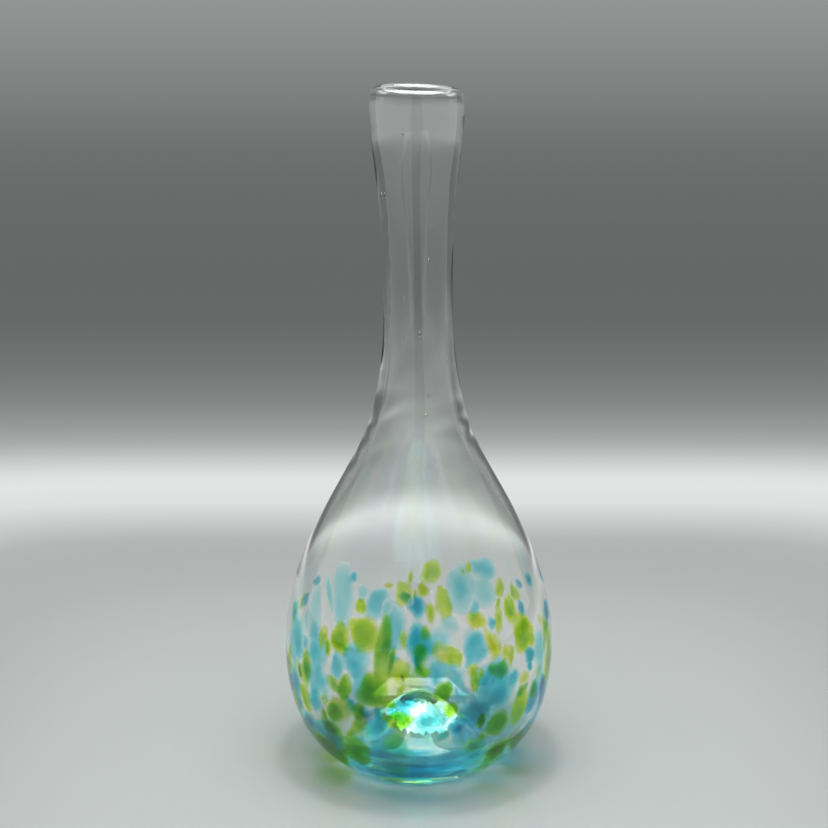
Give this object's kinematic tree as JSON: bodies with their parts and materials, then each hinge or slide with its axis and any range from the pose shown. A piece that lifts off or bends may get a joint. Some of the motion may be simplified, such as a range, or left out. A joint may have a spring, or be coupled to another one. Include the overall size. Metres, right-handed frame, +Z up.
{
  "type": "glass bud vase",
  "caption": "Hand blown clear glass bud vase: long narrow neck flowing into a teardrop body with cased turquoise and lime frit.",
  "frame": {"origin": "centre of the flat contact ring under the foot, on the vase's axis", "axes": "+Z up along the vase's axis from foot to lip; -Y is the front"},
  "size_m": [0.0866, 0.0866, 0.22],
  "materials": {
    "aqua_glass": "glossy, cased in clear glass",
    "citron_glass": "glossy, cased in clear glass",
    "clear_glass": "glossy, fire polished",
    "leaf_green_glass": "glossy, cased in clear glass",
    "lime_glass": "glossy, cased in clear glass",
    "pontil_glass": "rough, broken",
    "teal_glass": "glossy, cased in clear glass",
    "turquoise_glass": "glossy, cased in clear glass"
  },
  "bodies": {
    "root": {"aqua_frit_foot": "aqua_glass", "aqua_frit_heel": "aqua_glass", "aqua_frit_lower": "aqua_glass", "aqua_frit_middle": "aqua_glass", "aqua_frit_upper": "aqua_glass", "citron_frit_foot": "citron_glass", "citron_frit_lower": "citron_glass", "citron_frit_middle": "citron_glass", "citron_frit_upper": "citron_glass", "inner_gather": "clear_glass", "leaf_green_frit_foot": "leaf_green_glass", "leaf_green_frit_heel": "leaf_green_glass", "leaf_green_frit_lower": "leaf_green_glass", "leaf_green_frit_middle": "leaf_green_glass", "leaf_green_frit_upper": "leaf_green_glass", "lime_frit_foot": "lime_glass", "lime_frit_heel": "lime_glass", "lime_frit_lower": "lime_glass", "lime_frit_middle": "lime_glass", "lime_frit_upper": "lime_glass", "outer_gather": "clear_glass", "pontil_scar": "pontil_glass", "teal_frit_foot": "teal_glass", "teal_frit_heel": "teal_glass", "teal_frit_lower": "teal_glass", "teal_frit_middle": "teal_glass", "teal_frit_upper": "teal_glass", "turquoise_frit_foot": "turquoise_glass", "turquoise_frit_heel": "turquoise_glass", "turquoise_frit_lower": "turquoise_glass", "turquoise_frit_middle": "turquoise_glass", "turquoise_frit_upper": "turquoise_glass"}
  },
  "joints": []
}
